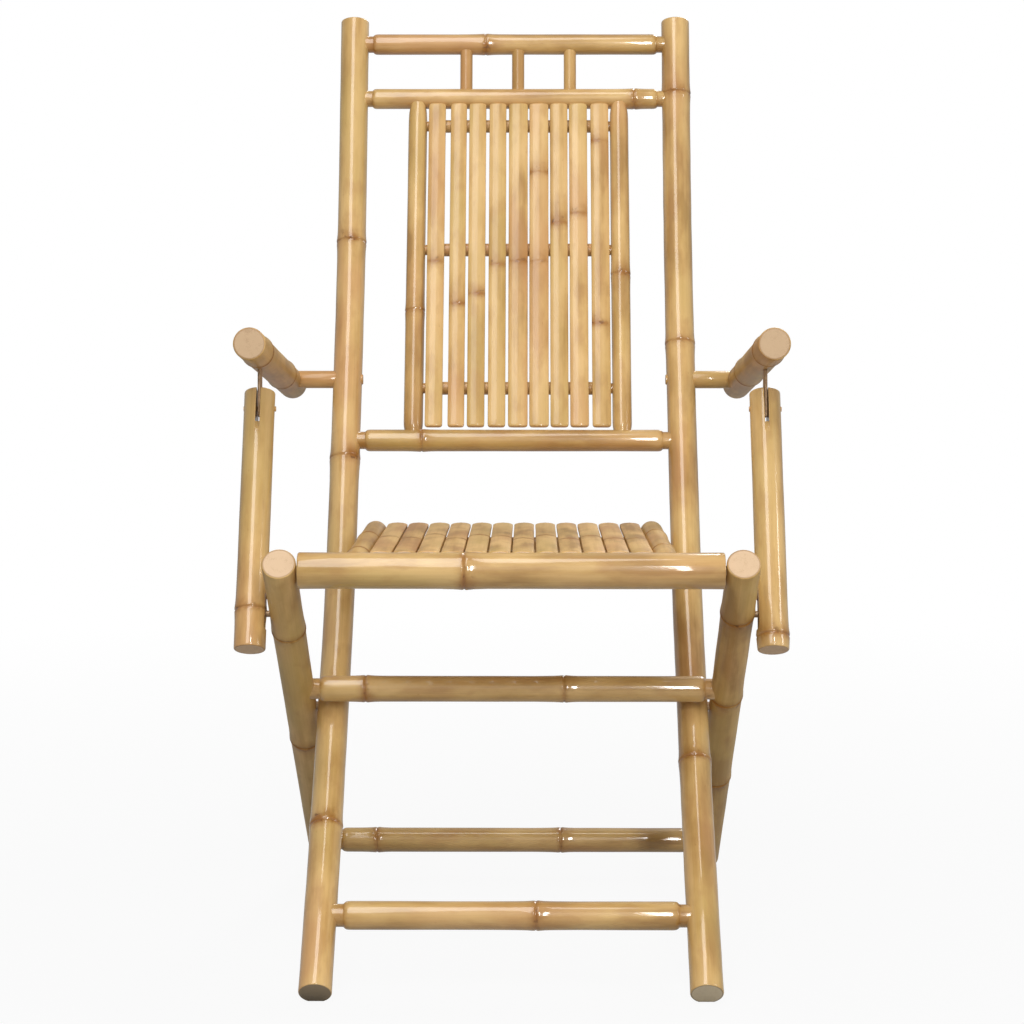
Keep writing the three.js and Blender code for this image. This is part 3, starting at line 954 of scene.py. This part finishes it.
@dataclass
class BackPosts:
    """The two bent posts, which follow one line in the side view."""

    builder: Builder
    radius: float = 17.8 * MM
    reach: float = 737.3 * MM
    height: float = 1071 * MM
    line_shares: tuple[tuple[float, float], ...] = (
        (0.007, 0.01045), (0.23053, 0.14196), (0.38789, 0.24745), (0.50566, 0.32772),
        (0.61592, 0.4295), (0.85717, 0.71733), (1.0, 1.0),
    )
    steps_per_span: int = 24
    ring_heights: dict[Side, Shares] = sides((150 * MM, 528 * MM, 789 * MM),
                                             (210 * MM, 664 * MM, 977 * MM))
    stains: dict[Side, float] = sides(1.5, 1.0)
    swell_limit: float = 1.7 * MM
    plain_step: float = 22 * MM

    def centre_line(self) -> np.ndarray:
        """Works out the posts' axis in the side view, as closely spaced points.

        A centripetal spline runs through the shares, as in the frame.

        Returns:
            An array of Y and Z.
        """
        knots = [np.array((y * self.reach, z * self.height)) for y, z in self.line_shares]
        knots = [2 * knots[0] - knots[1], *knots, 2 * knots[-1] - knots[-2]]
        line = []
        for a, b, c, d in zip(knots, knots[1:], knots[2:], knots[3:]):
            spans = [math.sqrt(np.linalg.norm(q - p)) for p, q in ((a, b), (b, c), (c, d))]
            t0, t1 = 0.0, spans[0]
            t2 = t1 + spans[1]
            t3 = t2 + spans[2]
            for step in range(self.steps_per_span):
                t = t1 + (t2 - t1) * step / self.steps_per_span
                ab = (a * (t1 - t) + b * (t - t0)) / (t1 - t0)
                bc = (b * (t2 - t) + c * (t - t1)) / (t2 - t1)
                cd = (c * (t3 - t) + d * (t - t2)) / (t3 - t2)
                abc = (ab * (t2 - t) + bc * (t - t0)) / (t2 - t0)
                bcd = (bc * (t3 - t) + cd * (t - t1)) / (t3 - t1)
                line.append((abc * (t2 - t) + bcd * (t - t1)) / (t2 - t1))
        line.append(knots[-2])
        line = np.array(line)
        pivot = centre_of("frame_pivot_left")
        line[:, 0] += pivot.y - np.interp(pivot.z, line[:, 1], line[:, 0])
        return line

    def build(self) -> None:
        """Makes both posts."""
        line = self.centre_line()
        gaps = np.linalg.norm(np.diff(line, axis=0), axis=1)
        run = np.concatenate(([0.0], np.cumsum(gaps)))
        for side in Side:
            node = "back_post_" + side.value
            rings = tuple(float(np.interp(z, line[:, 1], run)) / run[-1]
                          for z in self.ring_heights[side])
            maker = Piece(node + ".look", run[-1], self.radius, self.radius, rings,
                          stain=self.stains[side], swell_limit=self.swell_limit, seed=seed_of(node),
                          plain_step=self.plain_step)
            piece = maker.loft()
            self.builder.dress(piece, self.builder.finishes.pole)
            self.bend(piece, line, run, centre_of(node).x)
            self.builder.level_foot(piece)
            self.builder.declare(piece, node)

    def bend(self, piece: Object, line: np.ndarray, run: np.ndarray, x: float) -> None:
        """Moves every vertex of a straight post onto the bent line.

        Args:
            piece: The straight post.
            line: The line's points.
            run: The distance along the line at each point.
            x: The post's place along X.
        """
        mesh = piece.data
        places = places_of(mesh)
        along = places[:, 2]
        slope_y = np.gradient(line[:, 0], run)
        slope_z = np.gradient(line[:, 1], run)
        ty, tz = np.interp(along, run, slope_y), np.interp(along, run, slope_z)
        size = np.hypot(ty, tz)
        ty, tz = ty / size, tz / size
        bent = np.empty_like(places)
        bent[:, 0] = x + places[:, 0]
        bent[:, 1] = np.interp(along, run, line[:, 0]) + places[:, 1] * tz
        bent[:, 2] = np.interp(along, run, line[:, 1]) - places[:, 1] * ty
        mesh.vertices.foreach_set("co", bent.ravel())
        mesh.update()


@dataclass
class BackFrame:
    """The rails, spindles and panel that the back posts carry."""

    builder: Builder
    tenon: float = 11 * MM
    thin_tenon: float = 5 * MM
    strip_half: float = 4 * MM
    rail_rings: dict[str, Shares] = field(default_factory=lambda: {
        "top_rail": (0.4,), "upper_rail": (0.905,), "lower_back_rail": (0.2,),
        "front_foot_rail": (0.57,), "rear_seat_rail": (0.35,),
    })
    slat_rings: tuple[Shares, ...] = (
        (0.50,), (0.37,), (0.40,), (0.49,), (0.50,), (0.50, 0.78), (0.62,), (0.65,), (0.31, 0.88),
    )
    stile_rings: dict[Side, Shares] = sides((0.36,), (0.47,))
    bar_count: int = 3

    def build(self) -> None:
        """Makes every piece between the posts."""
        for node, rings in self.rail_rings.items():
            self.builder.rail(node, self.tenon, rings)
        for index in range(1, self.bar_count + 1):
            self.builder.rail(f"back_crossbar_{index}", self.thin_tenon, (), self.builder.finishes.dowel)
            self.spindle(f"back_spindle_{index}")
        for side in Side:
            self.stile("back_stile_" + side.value, self.stile_rings[side])
        for index, rings in enumerate(self.slat_rings, start=1):
            node = f"back_slat_{index}"
            front, rear = leaning_ends(node, 2 * self.strip_half, True)
            self.builder.strip(node, front, rear, FORWARD, self.strip_half, rings,
                               self.builder.finishes.strip)

    def spindle(self, node: str) -> None:
        """Makes one short spindle, whose ends run into the rails.

        Args:
            node: The node that it replaces.
        """
        radius = spread_of(node).x / 2
        low, high = leaning_ends(node, 2 * radius, True)
        style = (EndStyle.BURIED, EndStyle.BURIED)
        piece = self.builder.bar(node, low, high, radius, (), self.builder.finishes.dowel, style)
        self.builder.declare(piece, node)

    def stile(self, node: str, rings: Shares) -> None:
        """Makes one stile of the panel, whose narrowed ends run into the rails.

        Args:
            node: The node that it replaces.
            rings: Shares of its length that carry a ring.
        """
        radius = spread_of(node).x / 2 - RING_SWELL
        low, high = leaning_ends(node, 2 * radius, True)
        style = (EndStyle.COPED, EndStyle.SHOULDER)
        piece = self.builder.bar(node, low, high, radius, rings, None, style)
        self.builder.declare(piece, node)


@dataclass
class OuterFrame:
    """The straight legs, their rails and the pins that the frames turn on."""

    builder: Builder
    leg_radius: float = 18 * MM
    tenon: float = 11 * MM
    leg_rings: dict[Side, Shares] = sides((0.185, 0.535), (0.135, 0.39, 0.67))
    rail_rings: dict[str, Shares] = field(default_factory=lambda: {
        "mid_rail": (0.13, 0.63), "rear_foot_rail": (0.115, 0.63),
    })

    def build(self) -> None:
        """Makes the legs, the rails and the pins."""
        metal = self.builder.finishes.metal
        for side in Side:
            self.leg(side)
            for pin in ("frame_pivot_", "arm_post_pivot_"):
                self.builder.rod(pin + side.value, (), metal, metal)
        for node, rings in self.rail_rings.items():
            self.builder.rail(node, self.tenon, rings)
        self.builder.rod("seat_pivot_rod", (), metal, metal)

    def leg(self, side: Side) -> None:
        """Makes one leg through the seat pivot and the frame pivot.

        Args:
            side: Which leg.
        """
        node = "outer_leg_" + side.value
        upper = centre_of("seat_pivot_rod")
        lower = centre_of("frame_pivot_" + side.value)
        low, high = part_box(node)
        way = Vector((0, lower.y - upper.y, lower.z - upper.z)).normalized()
        thick = self.leg_radius * math.sqrt(1 - way.y ** 2)
        slope = way.z / way.y
        x = centre_of(node).x
        start, end = (Vector((x, y, upper.z + slope * (y - upper.y)))
                      for y in (low[1] + thick, high[1] - thick))
        piece = self.builder.bar(node, start, end, self.leg_radius, self.leg_rings[side],
                                 self.builder.finishes.worn_pole)
        self.builder.level_foot(piece)
        self.builder.declare(piece, node)


@dataclass
class Seat:
    """The seat, which turns on its front rail."""

    builder: Builder
    strip_half: float = 4 * MM
    side_radius: float = 13.75 * MM
    crossbar_tenon: float = 6 * MM
    crossbar_count: int = 2
    slat_count: int = 12
    slat_ring: float = 0.52
    slat_ring_spread: float = 0.12
    slat_seed: int = 7
    front_rings: Shares = (0.39,)
    side_rings: dict[Side, Shares] = sides((0.16, 0.62), (0.25, 0.70))

    def build(self) -> None:
        """Makes the front rail, the side rails, the crossbars and the slats."""
        self.builder.rod("seat_front_rail", self.front_rings)
        for side in Side:
            node = "seat_side_rail_" + side.value
            front, rear = leaning_ends(node, 2 * (self.side_radius + RING_SWELL), False)
            rail = self.builder.bar(node, front, rear, self.side_radius, self.side_rings[side],
                                    self.builder.finishes.worn_pole)
            self.builder.declare(rail, node)
        for index in range(1, self.crossbar_count + 1):
            self.builder.rail(f"seat_crossbar_{index}", self.crossbar_tenon, (),
                              self.builder.finishes.dowel)
        chance = random.Random(self.slat_seed)
        for index in range(1, self.slat_count + 1):
            node = f"seat_slat_{index}"
            front, rear = leaning_ends(node, 2 * self.strip_half, False)
            ring = self.slat_ring + chance.uniform(-self.slat_ring_spread, self.slat_ring_spread)
            # The seat slats take the strip finish painted lighter, for the light on the seat's top.
            self.builder.strip(node, front, rear, UP, self.strip_half, (ring,),
                               self.builder.finishes.seat_strip_painted_lighter)


@dataclass
class Arm:
    """One armrest with its pivot, tongue, pin and arm post."""

    builder: Builder
    side: Side
    arm_radius: float = 17.5 * MM
    post_radius: float = 17.1 * MM
    stub_radius: float = 10.7 * MM
    collar_reach: float = 8.9 * MM
    slot_width: float = 4.6 * MM
    slot_depth: float = 41 * MM
    groove_width: float = 14.2 * MM
    groove_length: float = 37 * MM
    tongue: Vector = field(default_factory=lambda: Vector((3.4 * MM, 20 * MM, 65.5 * MM)))
    tongue_edge: float = 0.8 * MM
    tongue_edge_steps: int = 3
    tongue_sharp: float = 40.0
    arm_rings: dict[Side, Shares] = sides((0.16, 0.70), (0.13, 0.62))
    post_rings: dict[Side, Shares] = sides((0.145,), (0.05,))

    def build(self) -> None:
        """Makes the whole arm."""
        node = "armrest_" + self.side.value
        front, rear = leaning_ends(node, 2 * self.arm_radius, False)
        rest = self.builder.bar(node, front, rear, self.arm_radius, self.arm_rings[self.side],
                                self.builder.finishes.worn_pole)
        rest.data.materials[END_SLOT] = self.builder.finishes.arm_end
        self.builder.declare(rest, node)
        self.tongue_plate(rear - front)
        self.pivot()
        self.post()

    def tongue_plate(self, way: Vector) -> None:
        """Makes the flat tongue under the armrest.

        Args:
            way: The way that the armrest runs.
        """
        node = "arm_tongue_" + self.side.value
        tilt = math.atan2(way.z, way.y)
        plate = self.builder.block(node + ".look", self.tongue, centre_of(node), tilt)
        only(plate)
        edge = plate.modifiers.new("edge", "BEVEL")
        edge.width = self.tongue_edge
        edge.segments = self.tongue_edge_steps
        bpy.ops.object.modifier_apply(modifier=edge.name)
        bpy.ops.object.shade_smooth_by_angle(angle=math.radians(self.tongue_sharp))
        plate.data.materials.append(self.builder.finishes.metal)
        self.builder.declare(plate, node)

    def pivot(self) -> None:
        """Makes the turned stub between the post and the armrest."""
        node = "arm_pivot_" + self.side.value
        start, end = crossing_ends(node)
        sign = self.side.sign
        if sign < 0:
            start, end = end, start
        collar = abs(centre_of("back_post_" + self.side.value).x + sign * self.collar_reach - start.x)
        length = (end - start).length
        steps = (
            (0.0, 0.50), (0.5 * MM, 0.58), (collar, 0.58), (collar + 0.1 * MM, 0.97),
            (collar + 1.0 * MM, 1.0), (length - 0.8 * MM, 1.0), (length, 0.96),
        )
        maker = Piece(node + ".look", length, self.stub_radius, self.stub_radius,
                      seed=seed_of(node), steps=steps)
        piece = maker.loft()
        self.builder.dress(piece, self.builder.finishes.dowel)
        self.builder.lay(piece, start, end, FORWARD)
        self.builder.declare(piece, node)

    def post(self) -> None:
        """Makes the arm post with its slot and groove, and the pin across the slot."""
        side = self.side.value
        node = "arm_post_" + side
        low, high = leaning_ends(node, 2 * self.post_radius, True)
        post = self.builder.bar(node, low, high, self.post_radius, self.post_rings[self.side])
        way = (high - low).normalized()
        tilt = math.atan2(-way.y, way.z)
        size = Vector((self.slot_width, 4 * self.post_radius, 2 * self.slot_depth))
        slot = self.builder.block("slot", size, high, tilt)
        self.builder.carve(post, slot)
        pivot = centre_of("arm_post_pivot_" + side)
        face = centre_of(node).x - self.side.sign * self.post_radius
        size = Vector((self.post_radius, self.groove_width, self.groove_length))
        groove = self.builder.block("groove", size, Vector((face, pivot.y, pivot.z)), tilt)
        self.builder.carve(post, groove)
        self.builder.declare(post, node)
        self.builder.rod("tongue_pin_" + side, (), self.builder.finishes.dowel)


@dataclass(frozen=True)
class Lamp:
    """A soft lamp that looks at the chair."""

    name: str
    place: tuple[float, float, float]
    size: tuple[float, float]
    power: float


@dataclass
class Studio:
    """The camera, the lamps, the floor and the white surround."""

    focal: float = 91.4
    sensor: float = 36.0
    clip_end: float = 60.0
    place: Vector = field(default_factory=lambda: Vector((0.0196, -3.0176, 0.8005)))
    tilt: float = 6.095
    yaw: float = 0.40
    aim: Vector = field(default_factory=lambda: Vector((0, 0, 0.55)))
    lamps: tuple[Lamp, ...] = (
        Lamp("front", (0.50, -3.6, 1.9), (0.22, 1.80), 52.0),
        Lamp("edge", (2.9, -1.2, 1.5), (0.44, 1.50), 22.0),
        Lamp("top", (-0.6, -1.9, 3.4), (1.30, 3.90), 86.0),
        Lamp("rear", (1.2, 3.0, 2.9), (0.80, 2.40), 62.0),
    )
    floor_size: float = 40.0
    floor_color: Color = (0.36, 0.36, 0.36)
    floor_roughness: float = 0.9
    fade_start: float = 0.5
    fade_end: float = 2.4
    fade_least: float = 0.93
    gloss_share: float = 0.25
    soft_level: float = 0.20

    def build(self) -> None:
        """Sets up everything around the chair."""
        self.add_camera()
        for lamp in self.lamps:
            self.add_lamp(lamp)
        self.add_floor()
        self.add_surround()
        bpy.context.scene.view_settings.view_transform = "Standard"

    def add_camera(self) -> None:
        """Adds the camera at the photograph's place."""
        data = bpy.data.cameras.new("camera")
        data.lens = self.focal
        data.sensor_width = self.sensor
        data.clip_end = self.clip_end
        camera = bpy.data.objects.new("camera", data)
        camera.location = self.place
        camera.rotation_euler = (math.radians(90 - self.tilt), 0, math.radians(self.yaw))
        bpy.context.scene.collection.objects.link(camera)
        bpy.context.scene.camera = camera

    def add_lamp(self, lamp: Lamp) -> None:
        """Adds one lamp, turned to the chair's middle.

        Args:
            lamp: Its place, size and power.
        """
        data = bpy.data.lights.new(lamp.name, "AREA")
        data.shape = "RECTANGLE"
        data.size, data.size_y = lamp.size
        data.energy = lamp.power
        piece = bpy.data.objects.new(lamp.name, data)
        piece.location = lamp.place
        piece.rotation_euler = (self.aim - Vector(lamp.place)).to_track_quat("-Z", "Y").to_euler()
        bpy.context.scene.collection.objects.link(piece)

    def add_floor(self) -> None:
        """Adds the pale floor, which keeps the chair's shadow."""
        deselect()
        bpy.ops.mesh.primitive_plane_add(size=self.floor_size)
        floor = bpy.context.object
        floor.name = "floor"
        material, nodes, shader = new_material("pale floor")
        shader.inputs["Base Color"].default_value = (*self.floor_color, 1)
        shader.inputs["Roughness"].default_value = self.floor_roughness
        glow = nodes.add("ShaderNodeEmission", Strength=1.0)
        mix = nodes.add("ShaderNodeMixShader")
        away = nodes.add("ShaderNodeVectorMath", operation="LENGTH")
        nodes.join(nodes.add("ShaderNodeTexCoord").outputs["Object"], away.inputs[0])
        fade = nodes.add("ShaderNodeMapRange", From_Min=self.fade_start, From_Max=self.fade_end,
                         To_Min=self.fade_least)
        nodes.join(away.outputs["Value"], fade.inputs["Value"])
        nodes.join(nodes.times(self.seen_rays(nodes), fade.outputs[0]), mix.inputs[0])
        nodes.join(shader.outputs[0], mix.inputs[1])
        nodes.join(glow.outputs[0], mix.inputs[2])
        nodes.join(mix.outputs[0], material.node_tree.nodes["Material Output"].inputs[0])
        floor.data.materials.append(material)

    def seen_rays(self, nodes: Nodes) -> Socket:
        """Tells the rays that see the surroundings white from those that only light the chair.

        Args:
            nodes: The nodes of the floor or of the world.

        Returns:
            One for rays from the camera or through glass, less for gloss, and zero for others.
        """
        path = nodes.add("ShaderNodeLightPath")
        gloss = nodes.times(path.outputs["Is Glossy Ray"], self.gloss_share)
        seen = nodes.maths("MAXIMUM", path.outputs["Is Camera Ray"], gloss)
        return nodes.maths("MAXIMUM", seen, path.outputs["Is Transmission Ray"])

    def add_surround(self) -> None:
        """Makes the world white to the camera and soft to the chair."""
        world = bpy.data.worlds.new("surround")
        bpy.context.scene.world = world
        world.use_nodes = True
        nodes = Nodes(world.node_tree)
        back = world.node_tree.nodes["Background"]
        back.inputs["Color"].default_value = (*WHITE, 1)
        level = nodes.scaled(self.seen_rays(nodes), 1 - self.soft_level, self.soft_level)
        nodes.join(level, back.inputs["Strength"])


def main() -> None:
    """Builds the chair and its surroundings in order."""
    Studio().build()
    builder = Builder(Finishes())
    BackPosts(builder).build()
    BackFrame(builder).build()
    OuterFrame(builder).build()
    Seat(builder).build()
    for side in Side:
        Arm(builder, side).build()
    LOG.info("%d pieces made", builder.made)


if __name__ == "__main__":
    main()
